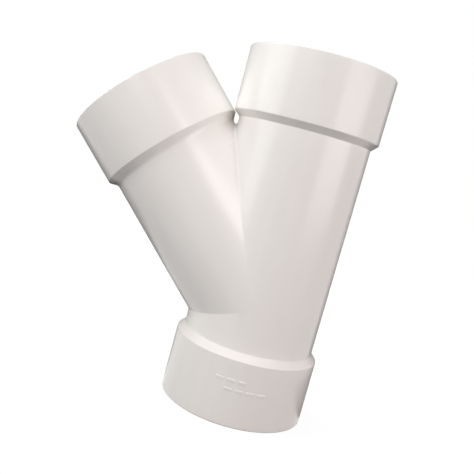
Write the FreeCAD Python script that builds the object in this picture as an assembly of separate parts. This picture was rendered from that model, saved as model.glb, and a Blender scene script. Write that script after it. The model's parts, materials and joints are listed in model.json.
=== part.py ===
"""White PVC wye fitting: a straight run with an equal branch at 45 degrees and three pipe sockets.

The fitting is one moulding. Its frame has +Z up the run, the origin at the middle of the lower rim,
and the branch leaning up towards -X. All sizes are in millimetres.
"""
import FreeCAD, Part
import math
import os

# The pipe that the sockets take
pipe_diameter = 114.3
pipe_wall = 6.0
socket_clearance = 0.3
socket_depth = 50.8
mouth_chamfer = 1.5

# Walls of the moulding
hub_wall = 5.9
barrel_wall = 6.25
hub_draft = 0.3
stop_backing = 3.15
lower_hub_extra = 0.95
branch_hub_extra = 1.5
shoulder_length = 5.4

# How the arms lie
branch_angle = 45.0
hub_gap = 0.9
throat_length = 11.0

# Rounded edges
rim_round = 1.0
hub_corner_round = 1.2
shoulder_root_round = 1.2
branch_root_round = 6.0
crotch_round = 2.0
heel_round = 3.0
bore_crease_round = 1.5
crease_reach = 0.98

# Plain raised bars on the front of the lower hub, in two rows
bar_length = 7.0
bar_gap = 2.2
bar_width = 3.2
bar_rise = 0.25
bar_slope_width = 0.6
bar_root = 0.2
upper_row_height = 38.0
upper_row_start = -15.0
upper_row_count = 3
lower_row_height = 30.5
lower_row_start = -6.5
lower_row_count = 4

# Radii that follow from the pipe and the walls
socket_radius = (pipe_diameter + socket_clearance) / 2
bore_radius = pipe_diameter / 2 - pipe_wall
hub_radius = socket_radius + hub_wall
hub_waist_radius = hub_radius - hub_draft
barrel_radius = bore_radius + barrel_wall

# Hub lengths, and lengths along the arms from the point where the two axes meet
hub_length = socket_depth + stop_backing
lower_hub_length = hub_length + lower_hub_extra
branch_hub_length = hub_length + branch_hub_extra
half_angle = math.radians(branch_angle) / 2
hub_start = (hub_waist_radius * math.cos(half_angle) + hub_gap / 2) / math.sin(half_angle)
arm_length = hub_start + hub_length
heel_drop = barrel_radius * math.tan(half_angle)
foot_length = heel_drop + throat_length + shoulder_length + lower_hub_length
run_length = foot_length + arm_length

UP = FreeCAD.Vector(0, 0, 1)
MEETING_POINT = FreeCAD.Vector(0, 0, foot_length)


def rounded_edges(corners):
    """Edges of a closed outline in the XZ plane, from (radius, height, round) corners."""
    count = len(corners)
    points = [FreeCAD.Vector(r, 0, z) for r, z, _ in corners]
    starts, ends, arcs = [], [], []
    for i, (_, _, round_radius) in enumerate(corners):
        here = points[i]
        back = (points[i - 1] - here).normalize()
        ahead = (points[(i + 1) % count] - here).normalize()
        if round_radius == 0:
            starts.append(here)
            ends.append(here)
            arcs.append(None)
            continue
        half_corner = back.getAngle(ahead) / 2
        reach = round_radius / math.tan(half_corner)
        inward = (back + ahead).normalize()
        middle = here + inward * (round_radius / math.sin(half_corner) - round_radius)
        starts.append(here + back * reach)
        ends.append(here + ahead * reach)
        arcs.append(Part.Arc(starts[-1], middle, ends[-1]).toShape())
    edges = []
    for i in range(count):
        if arcs[i]:
            edges.append(arcs[i])
        edges.append(Part.LineSegment(ends[i], starts[(i + 1) % count]).toShape())
    return edges


def turned(corners):
    """Solid of revolution about Z from an outline of (radius, height, round) corners."""
    face = Part.Face(Part.Wire(rounded_edges(corners)))
    return face.revolve(FreeCAD.Vector(0, 0, 0), UP, 360)


def leaned(shape):
    """The shape carried from the Z axis onto the branch axis, its z = 0 at the meeting point."""
    shape.rotate(FreeCAD.Vector(0, 0, 0), FreeCAD.Vector(0, 1, 0), -branch_angle)
    shape.translate(MEETING_POINT)
    return shape


def lower_hub_corners():
    """Outside of a hub that opens downwards at height 0, from its axis up to the barrel."""
    return [
        (0, 0, 0),
        (hub_radius, 0, rim_round),
        (hub_waist_radius, lower_hub_length, hub_corner_round),
        (barrel_radius, lower_hub_length + shoulder_length, shoulder_root_round),
    ]


def upper_hub_corners(rim_height, length, root_round):
    """Outside of a hub of this length that opens upwards, from the barrel up to the axis at its rim."""
    return [
        (barrel_radius, rim_height - length - shoulder_length, root_round),
        (hub_waist_radius, rim_height - length, hub_corner_round),
        (hub_radius, rim_height, rim_round),
        (0, rim_height, 0),
    ]


def lower_socket_corners():
    """Inside of a socket that opens downwards: mouth chamfer, socket wall, pipe stop."""
    return [
        (0, 0, 0),
        (socket_radius + mouth_chamfer, 0, 0),
        (socket_radius, mouth_chamfer, 0),
        (socket_radius, socket_depth, 0),
        (bore_radius, socket_depth, 0),
    ]


def upper_socket_corners(rim_height):
    """Inside of a socket that opens upwards: pipe stop, socket wall, mouth chamfer."""
    return [(r, rim_height - z, flat) for r, z, flat in reversed(lower_socket_corners())]


def is_crease(edge, radius):
    """Whether an edge's middle lies at this radius from the run's axis and from the branch's."""
    lean = math.radians(branch_angle)
    branch_axis = FreeCAD.Vector(-math.sin(lean), 0, math.cos(lean))
    middle = edge.valueAt((edge.FirstParameter + edge.LastParameter) / 2)
    off_run = math.hypot(middle.x, middle.y)
    off_branch = (middle - MEETING_POINT).cross(branch_axis).Length
    tolerance = 0.001
    return abs(off_run - radius) < tolerance and abs(off_branch - radius) < tolerance


def blended_tubes(radius, crotch, heel):
    """Two plain tubes of one radius, run and branch, with the creases where they meet rounded.

    The crotch is the crease above the meeting point and the heel the one below. The tubes end inside
    the hubs, halfway down the sockets. The creases die out at the sides, where the tubes run level,
    so the tubes are trimmed just short of there.
    """
    inset = socket_depth / 2
    foot = FreeCAD.Vector(0, 0, inset)
    run = Part.makeCylinder(radius, run_length - 2 * inset, foot)
    branch = leaned(Part.makeCylinder(radius, arm_length - inset))
    half_width = radius * crease_reach
    span = 2 * run_length
    corner = FreeCAD.Vector(-run_length, -half_width, -run_length / 2)
    slab = Part.makeBox(span, 2 * half_width, span, corner)
    tubes = run.fuse(branch).common(slab)
    creases = [edge for edge in tubes.Edges if is_crease(edge, radius)]
    above = [edge for edge in creases if edge.CenterOfMass.z > foot_length]
    tubes = tubes.makeFillet(crotch, above)
    below = [edge for edge in tubes.Edges if is_crease(edge, radius)]
    return tubes.makeFillet(heel, below)


def outside():
    """The fitting's outer form, filled."""
    run_top = upper_hub_corners(run_length, hub_length, shoulder_root_round)
    run = turned(lower_hub_corners() + run_top)
    branch_top = upper_hub_corners(arm_length, branch_hub_length, branch_root_round)
    branch = leaned(turned([(0, 0, 0), (barrel_radius, 0, 0)] + branch_top))
    return run.fuse([branch, blended_tubes(barrel_radius, crotch_round, heel_round)])


def passages():
    """The hollow inside: two bores that meet, with a socket at each of the three ends."""
    run = turned(lower_socket_corners() + upper_socket_corners(run_length))
    branch = leaned(turned([(0, 0, 0), (bore_radius, 0, 0)] + upper_socket_corners(arm_length)))
    return run.fuse([branch, blended_tubes(bore_radius, bore_crease_round, bore_crease_round)])


def raised_bar(height, along):
    """One plain bar on the lower hub, starting this far along its front from the middle."""
    surface = hub_radius - hub_draft * height / lower_hub_length
    low, high = height - bar_width / 2, height + bar_width / 2
    outline = [
        (surface - bar_root, low, 0),
        (surface + bar_rise, low + bar_slope_width, 0),
        (surface + bar_rise, high - bar_slope_width, 0),
        (surface - bar_root, high, 0),
    ]
    face = Part.Face(Part.Wire(rounded_edges(outline)))
    bar = face.revolve(FreeCAD.Vector(0, 0, 0), UP, math.degrees(bar_length / surface))
    bar.rotate(FreeCAD.Vector(0, 0, 0), UP, math.degrees(along / surface) - 90)
    return bar


def raised_bars():
    """Both rows of bars."""
    rows = [
        (upper_row_height, upper_row_start, upper_row_count),
        (lower_row_height, lower_row_start, lower_row_count),
    ]
    return [
        raised_bar(height, start + i * (bar_length + bar_gap))
        for height, start, count in rows
        for i in range(count)
    ]


def wye_fitting():
    """The whole fitting as one solid."""
    return outside().fuse(raised_bars()).cut(passages()).removeSplitter()


def main():
    """Write the fitting and print its main sizes."""
    os.makedirs("parts", exist_ok=True)
    fitting = wye_fitting()
    solid = fitting.Solids[0]
    solid.exportStep("parts/wye_fitting.step")
    print(f"solids {len(fitting.Solids)}, valid {solid.isValid()}, volume {solid.Volume:.0f} mm3")
    print(f"run {run_length:.1f}, arms {arm_length:.1f}, foot {foot_length:.1f}")


main()
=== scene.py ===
import json
import logging
import math
from dataclasses import dataclass, field
from enum import Enum
from typing import Union

import bpy
from mathutils import Matrix, Quaternion, Vector


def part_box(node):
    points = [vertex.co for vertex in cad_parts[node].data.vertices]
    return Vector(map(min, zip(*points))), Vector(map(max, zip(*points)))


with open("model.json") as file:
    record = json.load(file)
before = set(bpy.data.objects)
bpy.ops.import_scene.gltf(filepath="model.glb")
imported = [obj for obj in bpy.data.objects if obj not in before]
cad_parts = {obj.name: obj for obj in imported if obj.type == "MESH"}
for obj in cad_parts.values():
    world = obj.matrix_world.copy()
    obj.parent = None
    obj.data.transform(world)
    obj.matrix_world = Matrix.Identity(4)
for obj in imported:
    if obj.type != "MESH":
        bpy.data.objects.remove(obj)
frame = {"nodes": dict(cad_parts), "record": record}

FITTING_NODE = "wye_fitting"
BRANCH_SOCKET = "branch_socket"
BARREL_RADIUS = 0.0574

log = logging.getLogger("wye_scene")

Colour = tuple[float, float, float]
Place = tuple[float, float, float]
Socket = bpy.types.NodeSocket
Source = Union[Socket, float, tuple[float, ...]]

WHITE: Colour = (1.0, 1.0, 1.0)


def rgba(colour: Colour) -> tuple[float, float, float, float]:
    """The colour with full opacity."""
    return (*colour, 1.0)


class RayKind(Enum):
    """Kinds of ray that see the studio's surroundings as plain white."""

    CAMERA = "Is Camera Ray"
    GLOSSY = "Is Glossy Ray"
    TRANSMISSION = "Is Transmission Ray"


class Arm(Enum):
    """The two tubes that make up the fitting."""

    RUN = "run"
    BRANCH = "branch"


class BlendKind(Enum):
    """What is mixed: the Mix node's data type, then the indices of its two inputs and of its output."""

    NUMBER = ("FLOAT", 2, 3, 0)
    COLOUR = ("RGBA", 6, 7, 2)


class NodeBench:
    """Adds and joins the nodes of one node tree."""

    def __init__(self, tree: bpy.types.NodeTree) -> None:
        """Start with an empty tree.

        Args:
            tree: The tree to fill; its present nodes are removed.
        """
        self.tree = tree
        tree.nodes.clear()

    def add(self, kind: str, **settings: object) -> bpy.types.Node:
        """Add a node.

        Args:
            kind: The node's type, without its "ShaderNode" prefix.
            **settings: Properties of the node to set.

        Returns:
            The new node.
        """
        node = self.tree.nodes.new("ShaderNode" + kind)
        for name, value in settings.items():
            setattr(node, name, value)
        return node

    def join(self, source: Source, target: Socket) -> None:
        """Link a socket to a target, or write a plain value to it.

        Args:
            source: An output socket, or a number, vector or colour.
            target: The input socket that takes it.
        """
        if isinstance(source, bpy.types.NodeSocket):
            self.tree.links.new(source, target)
        else:
            target.default_value = source

    def maths(self, operation: str, *inputs: Source) -> Socket:
        """Work out a number.

        Args:
            operation: The Math node's operation.
            *inputs: Sockets or numbers that it takes.

        Returns:
            The result's socket.
        """
        node = self.add("Math", operation=operation)
        for source, target in zip(inputs, node.inputs):
            self.join(source, target)
        return node.outputs[0]

    def vector(self, operation: str, *inputs: Source) -> bpy.types.Node:
        """Work on vectors.

        Args:
            operation: The Vector Math node's operation.
            *inputs: Sockets or vectors that it takes.

        Returns:
            The node, whose result is "Vector" or "Value".
        """
        node = self.add("VectorMath", operation=operation)
        for source, target in zip(inputs, node.inputs):
            self.join(source, target)
        return node

    def ramp(self, value: Source, low: float, high: float, start: float, end: float) -> Socket:
        """Carry a number smoothly from one range to another.

        Args:
            value: The number's socket.
            low: The number that gives start.
            high: The number that gives end.
            start: The result at or below low.
            end: The result at or above high.

        Returns:
            The result's socket.
        """
        node = self.add("MapRange", interpolation_type="SMOOTHSTEP")
        names = ("Value", "From Min", "From Max", "To Min", "To Max")
        for name, source in zip(names, (value, low, high, start, end)):
            self.join(source, node.inputs[name])
        return node.outputs["Result"]

    def noise(self, place: Source, grain: float, detail: float) -> Socket:
        """Soft random pattern.

        Args:
            place: The coordinates' socket.
            grain: The size of its blotches.
            detail: How many finer layers it has.

        Returns:
            The pattern's socket, around 0.5.
        """
        node = self.add("TexNoise", noise_dimensions="3D")
        self.join(place, node.inputs["Vector"])
        node.inputs["Scale"].default_value = 1.0 / grain
        node.inputs["Detail"].default_value = detail
        return node.outputs["Fac"]

    def blend(self, kind: BlendKind, share: Source, first: Source, second: Source) -> Socket:
        """Mix two numbers or two colours.

        Args:
            kind: What is mixed.
            share: How much of the second there is.
            first: The first number or colour.
            second: The second number or colour.

        Returns:
            The mixture's socket.
        """
        data_type, first_input, second_input, output = kind.value
        node = self.add("Mix", data_type=data_type)
        self.join(share, node.inputs[0])
        self.join(first, node.inputs[first_input])
        self.join(second, node.inputs[second_input])
        return node.outputs[output]


@dataclass(frozen=True)
class FittingLines:
    """Where the fitting's two axes and its walls lie."""

    meeting_height: float
    branch_axis: Vector
    barrel_radius: float

    @classmethod
    def from_frame(cls, record: dict, barrel_radius: float) -> "FittingLines":
        """Read the axes from the record's mounts.

        Args:
            record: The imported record.
            barrel_radius: Outer radius of both barrels.

        Returns:
            The fitting's lines.
        """
        mounts = {mount["name"]: mount for mount in record["mounts"]}
        socket = mounts[BRANCH_SOCKET]
        axis = Vector(socket["axis"]).normalized()
        place = Vector(socket["pos_m"])
        return cls(place.z - place.x / axis.x * axis.z, axis, barrel_radius)


@dataclass(frozen=True)
class Mottle:
    """Shares of flow streaks and blotches in a mottled pattern, and the range of their sum that shows."""

    streaks: float
    blotches: float
    low: float
    high: float

    def spread(self, bench: NodeBench, streaks: Socket, blotches: Socket, start: float, end: float) -> Socket:
        """Add the two patterns up and carry the sum from one value to another.

        Args:
            bench: The material's nodes.
            streaks: The streaks' socket.
            blotches: The blotches' socket.
            start: The result where the sum is low.
            end: The result where the sum is high.

        Returns:
            The result's socket.
        """
        streaked = bench.maths("MULTIPLY", streaks, self.streaks)
        blotched = bench.maths("MULTIPLY", blotches, self.blotches)
        return bench.ramp(bench.maths("ADD", streaked, blotched), self.low, self.high, start, end)


@dataclass(frozen=True)
class Relief:
    """One layer of surface relief: the size of its bumps, how many finer layers they have, their height."""

    grain: float
    detail: float
    height: float


@dataclass(frozen=True)
class MouldedPvc:
    """Satin white PVC as it comes out of a polished mould."""

    name: str = "white_pvc_moulded"
    pale: Colour = (0.922, 0.888, 0.860)
    deep: Colour = (0.906, 0.868, 0.838)
    tint: Mottle = Mottle(streaks=0.4, blotches=0.6, low=0.35, high=0.65)
    gloss_roughness: float = 0.205
    dull_roughness: float = 0.27
    sheen: Mottle = Mottle(streaks=0.6, blotches=0.4, low=0.3, high=0.7)
    refraction: float = 1.53
    blotch_grain: float = 0.06
    blotch_detail: float = 3.0
    streak_grain: float = 0.009
    streak_detail: float = 1.0
    streak_stretch: float = 14.0
    arm_blend_half_width: float = 0.004
    shrink_waves: Relief = Relief(grain=0.035, detail=1.0, height=0.00012)
    orange_peel: Relief = Relief(grain=0.0016, detail=2.0, height=0.000006)
    pores: Relief = Relief(grain=0.0003, detail=1.0, height=0.0000012)
    seam_half_width: float = 0.00022
    seam_height: float = 0.00008
    seam_depth_below_barrel: float = 0.00005

    def material(self, lines: FittingLines) -> bpy.types.Material:
        """Make the finish.

        Args:
            lines: The fitting's axes, which the flow streaks and the parting line follow.

        Returns:
            The finish's material.
        """
        material = bpy.data.materials.new(self.name)
        material.use_nodes = True
        bench = NodeBench(material.node_tree)
        place = bench.add("TexCoord").outputs["Object"]
        streaks = self._streaks(bench, place, lines)
        blotches = bench.noise(place, self.blotch_grain, self.blotch_detail)
        tint = self.tint.spread(bench, streaks, blotches, 0.0, 1.0)
        colour = bench.blend(BlendKind.COLOUR, tint, rgba(self.pale), rgba(self.deep))
        roughness = self.sheen.spread(bench, streaks, blotches, self.gloss_roughness, self.dull_roughness)
        shader = bench.add("BsdfPrincipled")
        shader.inputs["IOR"].default_value = self.refraction
        bench.join(colour, shader.inputs["Base Color"])
        bench.join(roughness, shader.inputs["Roughness"])
        bench.join(self._relief(bench, place, lines), shader.inputs["Normal"])
        bench.join(shader.outputs["BSDF"], bench.add("OutputMaterial").inputs["Surface"])
        return material

    def _off_axis(self, bench: NodeBench, place: Socket, lines: FittingLines, arm: Arm) -> Socket:
        """Distance of a point from an arm's axis.

        Args:
            bench: The material's nodes.
            place: The point's coordinates.
            lines: The fitting's axes.
            arm: The arm whose axis is meant.

        Returns:
            The distance's socket.
        """
        axis = Vector((0, 0, 1)) if arm is Arm.RUN else lines.branch_axis
        from_meeting = bench.vector("SUBTRACT", place, (0, 0, lines.meeting_height)).outputs["Vector"]
        across = bench.vector("CROSS_PRODUCT", from_meeting, tuple(axis)).outputs["Vector"]
        return bench.vector("LENGTH", across).outputs["Value"]

    def _streaks(self, bench: NodeBench, place: Socket, lines: FittingLines) -> Socket:
        """Faint flow streaks along each arm, where the melt ran.

        Args:
            bench: The material's nodes.
            place: The surface's coordinates.
            lines: The fitting's axes.

        Returns:
            The streaks' socket, around 0.5.
        """
        shrink = 1.0 - 1.0 / self.streak_stretch
        patterns = []
        for axis in (Vector((0, 0, 1)), lines.branch_axis):
            along = bench.vector("DOT_PRODUCT", place, tuple(axis)).outputs["Value"]
            slide = bench.add("VectorMath", operation="SCALE")
            slide.inputs[0].default_value = tuple(axis * shrink)
            bench.join(along, slide.inputs["Scale"])
            squeezed = bench.vector("SUBTRACT", place, slide.outputs["Vector"]).outputs["Vector"]
            patterns.append(bench.noise(squeezed, self.streak_grain, self.streak_detail))
        off_run = self._off_axis(bench, place, lines, Arm.RUN)
        off_branch = self._off_axis(bench, place, lines, Arm.BRANCH)
        nearer = bench.maths("SUBTRACT", off_run, off_branch)
        share = bench.ramp(nearer, -self.arm_blend_half_width, self.arm_blend_half_width, 0.0, 1.0)
        return bench.blend(BlendKind.NUMBER, share, *patterns)

    def _relief(self, bench: NodeBench, place: Socket, lines: FittingLines) -> Socket:
        """Surface relief: slow shrink waves, orange peel, pores and the mould's parting line.

        Args:
            bench: The material's nodes.
            place: The surface's coordinates.
            lines: The fitting's axes.

        Returns:
            The relief's normal socket.
        """
        layers = [
            (bench.noise(place, layer.grain, layer.detail), layer.height)
            for layer in (self.shrink_waves, self.orange_peel, self.pores)
        ]
        layers.append((self._parting_line(bench, place, lines), self.seam_height))
        normal = None
        for pattern, height in layers:
            bump = bench.add("Bump")
            bump.inputs["Distance"].default_value = height
            bench.join(pattern, bump.inputs["Height"])
            if normal is not None:
                bench.join(normal, bump.inputs["Normal"])
            normal = bump.outputs["Normal"]
        return normal

    def _parting_line(self, bench: NodeBench, place: Socket, lines: FittingLines) -> Socket:
        """Fine ridge where the mould's halves met, in the plane of both axes, on the outside only.

        Args:
            bench: The material's nodes.
            place: The surface's coordinates.
            lines: The fitting's axes.

        Returns:
            The ridge's socket, from 0 to 1.
        """
        split = bench.add("SeparateXYZ")
        bench.join(place, split.inputs["Vector"])
        off_plane = bench.maths("ABSOLUTE", split.outputs["Y"])
        ridge = bench.ramp(off_plane, 0.0, self.seam_half_width, 1.0, 0.0)
        off_run = self._off_axis(bench, place, lines, Arm.RUN)
        off_branch = self._off_axis(bench, place, lines, Arm.BRANCH)
        nearest = bench.maths("MINIMUM", off_run, off_branch)
        inner_limit = lines.barrel_radius - self.seam_depth_below_barrel
        outside = bench.maths("GREATER_THAN", nearest, inner_limit)
        return bench.maths("MULTIPLY", ridge, outside)


@dataclass
class WyeFitting:
    """The fitting itself: one moulding with a straight run, a branch and three hubs."""

    node: bpy.types.Object
    lines: FittingLines
    finish: MouldedPvc = field(default_factory=MouldedPvc)
    join_reach: float = 0.000001
    corner_angle: float = 30.0

    def dress(self) -> bpy.types.Object:
        """Give the moulding its finish and an unbroken shading.

        Returns:
            The dressed object.
        """
        self.node.data.materials.clear()
        self.node.data.materials.append(self.finish.material(self.lines))
        self._even_shading()
        return self.node

    def _even_shading(self) -> None:
        """Even out the shading where the mesh's faces meet.

        Coinciding points are joined, real corners stay crisp, and large faces lead the normals.
        """
        joined = self.node.modifiers.new("joined_borders", "WELD")
        joined.merge_threshold = self.join_reach
        corners = self.node.modifiers.new("crisp_corners", "EDGE_SPLIT")
        corners.split_angle = math.radians(self.corner_angle)
        shading = self.node.modifiers.new("even_shading", "WEIGHTED_NORMAL")
        shading.mode = "FACE_AREA_WITH_ANGLE"
        shading.keep_sharp = True


def direction(azimuth: float, elevation: float) -> Vector:
    """Unit vector from the fitting towards a place around it.

    Args:
        azimuth: Angle round the fitting from its front, growing to the right.
        elevation: Angle above the floor.

    Returns:
        The direction.
    """
    turn, rise = math.radians(azimuth), math.radians(elevation)
    return Vector((math.sin(turn) * math.cos(rise), -math.cos(turn) * math.cos(rise), math.sin(rise)))


def flat_sheet(name: str, width: float, height: float, finish: bpy.types.Material) -> bpy.types.Object:
    """Make a level rectangle round the origin.

    Args:
        name: The sheet's name.
        width: Its size along X.
        height: Its size along Y.
        finish: Its material.

    Returns:
        The sheet's object.
    """
    half_width, half_height = width / 2, height / 2
    signs = ((-1, -1), (1, -1), (1, 1), (-1, 1))
    mesh = bpy.data.meshes.new(name)
    mesh.from_pydata([(x * half_width, y * half_height, 0) for x, y in signs], [], [(0, 1, 2, 3)])
    mesh.materials.append(finish)
    sheet = bpy.data.objects.new(name, mesh)
    bpy.context.scene.collection.objects.link(sheet)
    return sheet


@dataclass(frozen=True)
class SoftBox:
    """A rectangular studio lamp, aimed at the fitting. It shows in reflections unless mirrored is off."""

    name: str
    azimuth: float
    elevation: float
    width: float
    height: float
    power: float
    distance: float = 1.4
    tint: Colour = (1.0, 0.99, 0.975)
    mirrored: bool = True

    def hang(self, target: Vector) -> bpy.types.Object:
        """Put the lamp in its place.

        Args:
            target: The point that it faces.

        Returns:
            The lamp's object.
        """
        data = bpy.data.lights.new(self.name, "AREA")
        data.shape = "RECTANGLE"
        data.size = self.width
        data.size_y = self.height
        data.energy = self.power
        data.color = self.tint
        lamp = bpy.data.objects.new(self.name, data)
        bpy.context.scene.collection.objects.link(lamp)
        away = direction(self.azimuth, self.elevation)
        lamp.location = target + away * self.distance
        lamp.rotation_euler = (-away).to_track_quat("-Z", "Y").to_euler()
        lamp.visible_camera = False
        lamp.visible_glossy = self.mirrored
        return lamp


@dataclass(frozen=True)
class DarkCard:
    """A black card that shows in reflections alone, to draw the pale fitting's outline on white.

    It faces along azimuth and elevation, and turn spins it about its own normal.
    """

    name: str
    centre: Place
    azimuth: float
    elevation: float
    width: float
    height: float
    turn: float = 0.0

    def stand(self, finish: bpy.types.Material) -> bpy.types.Object:
        """Put the card in its place.

        Args:
            finish: The card's black paper.

        Returns:
            The card's object.
        """
        card = flat_sheet(self.name, self.width, self.height, finish)
        card.location = self.centre
        facing = direction(self.azimuth, self.elevation).to_track_quat("Z", "Y")
        turned = Quaternion((0, 0, 1), math.radians(self.turn))
        card.rotation_euler = (facing @ turned).to_euler()
        card.visible_camera = False
        card.visible_diffuse = False
        card.visible_shadow = False
        return card


def white_where_seen(bench: NodeBench) -> Socket:
    """Whether a ray is one that sees the surroundings as plain white.

    Args:
        bench: The tree's nodes.

    Returns:
        The socket of 0 or 1.
    """
    path = bench.add("LightPath")
    seen = path.outputs[RayKind.CAMERA.value]
    for kind in (RayKind.GLOSSY, RayKind.TRANSMISSION):
        seen = bench.maths("MAXIMUM", seen, path.outputs[kind.value])
    return seen


@dataclass
class Studio:
    """White room: a pale floor, soft lamps, black cards for the outline and an even fill from all round."""

    target: Vector
    lamps: tuple[SoftBox, ...]
    cards: tuple[DarkCard, ...]
    # Radius of the fitting's foot, which sizes the painted shadow beneath it.
    foot_radius: float
    fill: float = 0.08
    fill_tint: Colour = (1.0, 0.60, 0.58)
    card_albedo: float = 0.02
    floor_side: float = 24.0
    floor_albedo: float = 0.12
    # The floor's glow near the fitting is kept lower than far away, as painted shade round the fitting.
    near_glow: float = 0.9
    far_glow: float = 1.0
    near_reach: float = 0.25
    far_reach: float = 1.6
    # Soft edge of the painted shadow beneath the foot, where the floor's glow goes off.
    painted_foot_shadow_edge: float = 0.0012

    def light(self) -> list[bpy.types.Object]:
        """Hang the lamps and set the fill light.

        Returns:
            The lamps.
        """
        world = bpy.data.worlds.new("studio_surround")
        world.use_nodes = True
        bpy.context.scene.world = world
        bench = NodeBench(world.node_tree)
        fill = bench.add("Background")
        fill.inputs["Color"].default_value = rgba(self.fill_tint)
        fill.inputs["Strength"].default_value = self.fill
        white = bench.add("Background")
        white.inputs["Color"].default_value = rgba(WHITE)
        mixed = bench.add("MixShader")
        bench.join(white_where_seen(bench), mixed.inputs[0])
        bench.join(fill.outputs["Background"], mixed.inputs[1])
        bench.join(white.outputs["Background"], mixed.inputs[2])
        bench.join(mixed.outputs["Shader"], bench.add("OutputWorld").inputs["Surface"])
        return [lamp.hang(self.target) for lamp in self.lamps]

    def stand_cards(self) -> list[bpy.types.Object]:
        """Stand the black cards behind the fitting and lay the others on the floor.

        Returns:
            The cards.
        """
        paper = bpy.data.materials.new("studio_black_paper")
        paper.use_nodes = True
        bench = NodeBench(paper.node_tree)
        matt = bench.add("BsdfDiffuse")
        matt.inputs["Color"].default_value = rgba((self.card_albedo,) * 3)
        bench.join(matt.outputs["BSDF"], bench.add("OutputMaterial").inputs["Surface"])
        return [card.stand(paper) for card in self.cards]

    def lay_floor(self) -> bpy.types.Object:
        """Lay the pale floor that the fitting stands on.

        Returns:
            The floor.
        """
        floor = flat_sheet("studio_floor", self.floor_side, self.floor_side, self._floor_finish())
        return floor

    def _floor_finish(self) -> bpy.types.Material:
        """Matt pale floor. Its glow is white away from the fitting and a little weaker near it, which is
        painted shade over which its real shadow shows; beneath its foot the glow is off, which is a painted
        shadow that the bottom rim reflects.

        Returns:
            The floor's material.
        """
        material = bpy.data.materials.new("studio_floor_paper")
        material.use_nodes = True
        bench = NodeBench(material.node_tree)
        matt = bench.add("BsdfDiffuse")
        matt.inputs["Color"].default_value = rgba((self.floor_albedo,) * 3)
        place = bench.add("TexCoord").outputs["Object"]
        reach = bench.vector("LENGTH", place).outputs["Value"]
        # Painted shade: the floor's glow is a little weaker near the fitting than far from it.
        glow_with_painted_shade_near = bench.ramp(reach, self.near_reach, self.far_reach, self.near_glow, self.far_glow)
        # Painted shadow: the floor's glow is switched off beneath the fitting's foot, so the floor there is
        # dark.
        glow_outside_painted_foot_shadow = bench.ramp(reach, self.foot_radius - self.painted_foot_shadow_edge, self.foot_radius, 0.0, 1.0)
        glow = bench.maths("MULTIPLY", glow_with_painted_shade_near, glow_outside_painted_foot_shadow)
        shine = bench.add("Emission")
        bench.join(bench.maths("MULTIPLY", glow, white_where_seen(bench)), shine.inputs["Strength"])
        both = bench.add("AddShader")
        bench.join(matt.outputs["BSDF"], both.inputs[0])
        bench.join(shine.outputs["Emission"], both.inputs[1])
        bench.join(both.outputs["Shader"], bench.add("OutputMaterial").inputs["Surface"])
        return material


@dataclass
class PhotoCamera:
    """Camera at the photograph's viewing angle. It leans, so that the run tilts to the right."""

    meeting_height: float
    azimuth: float = 4.68
    elevation: float = 6.912
    roll: float = 15.196
    distance: float = 0.55387
    aim_side: float = -0.032625
    aim_rise: float = 0.047064
    focal_px: float = 632.06
    picture_px: float = 474.0
    sensor: float = 36.0
    nearest_seen: float = 0.01
    farthest_seen: float = 100.0

    def mount(self) -> bpy.types.Object:
        """Place the camera and make it the scene's own.

        Returns:
            The camera's object.
        """
        data = bpy.data.cameras.new("photo_camera")
        data.sensor_width = self.sensor
        data.lens = self.focal_px * self.sensor / self.picture_px
        data.clip_start = self.nearest_seen
        data.clip_end = self.farthest_seen
        back = direction(self.azimuth, self.elevation)
        level = Vector((0, 0, 1)).cross(back).normalized()
        upright = back.cross(level)
        lean = math.radians(self.roll)
        right = level * math.cos(lean) + upright * math.sin(lean)
        up = upright * math.cos(lean) - level * math.sin(lean)
        facing = Matrix((right, up, back)).transposed().to_4x4()
        aim = Vector((self.aim_side, 0, self.meeting_height + self.aim_rise))
        camera = bpy.data.objects.new("photo_camera", data)
        bpy.context.scene.collection.objects.link(camera)
        camera.matrix_world = Matrix.Translation(aim + back * self.distance) @ facing
        bpy.context.scene.camera = camera
        return camera


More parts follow.
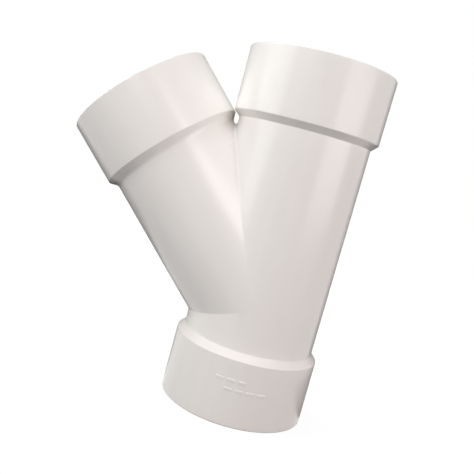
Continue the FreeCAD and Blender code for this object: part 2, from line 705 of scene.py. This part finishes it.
LAMPS = (
    SoftBox("window_left", -65.0, 20.0, 1.15, 1.45, 10.6, tint=(0.965, 0.994, 1.0)),
    SoftBox("sky_left", -112.0, 66.0, 0.50, 0.70, 11.0, tint=(0.85, 0.96, 1.0)),
    SoftBox("strip_left", -42.0, 26.0, 1.90, 0.34, 7.65, tint=(0.99, 1.0, 0.978)),
    SoftBox("window_right", 63.0, 8.0, 1.10, 0.50, 4.85, tint=(1.0, 0.945, 0.94)),
    SoftBox("strip_right", 42.0, 30.0, 1.05, 0.55, 6.7, tint=(1.0, 0.996, 0.996)),
    SoftBox("overhead", 0.0, 86.0, 0.70, 0.70, 1.5),
    SoftBox("back_left", -160.0, 30.0, 0.80, 0.80, 6.0, mirrored=False),
    SoftBox("back_right", 160.0, 30.0, 0.80, 0.80, 6.0, mirrored=False),
)

CARDS = (
    DarkCard("card_left", (-0.199, 0.147, 0.351), -137.3, 0.0, 0.24, 0.70),
    DarkCard("card_right", (0.046, 0.167, 0.351), 146.7, 0.0, 0.24, 0.70),
    DarkCard("card_above", (-0.102, 0.471, 0.520), -175.3, 38.0, 1.00, 0.60),
    DarkCard("card_below", (0.058, 0.120, 0.001), 0.0, -90.0, 0.225, 0.24),
    DarkCard("card_below_left", (-0.0942, 0.0997, 0.0012), 0.0, -90.0, 0.06, 0.20, turn=-34.0),
)


def main() -> None:
    """Dress the fitting, light it and set the camera."""
    logging.basicConfig(level=logging.INFO, format="%(name)s: %(message)s")
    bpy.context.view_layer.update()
    bpy.context.scene.view_settings.view_transform = "Standard"
    lines = FittingLines.from_frame(frame["record"], BARREL_RADIUS)
    fitting = WyeFitting(frame["nodes"][FITTING_NODE], lines).dress()
    log.info("fitting dressed: %s", fitting.name)
    low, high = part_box(FITTING_NODE)
    studio = Studio((low + high) / 2, LAMPS, CARDS, foot_radius=high.x)
    log.info("lamps hung: %s", ", ".join(lamp.name for lamp in studio.light()))
    log.info("cards placed: %s", ", ".join(card.name for card in studio.stand_cards()))
    log.info("floor laid: %s", studio.lay_floor().name)
    log.info("camera mounted: %s", PhotoCamera(lines.meeting_height).mount().name)


if __name__ == "__main__":
    main()
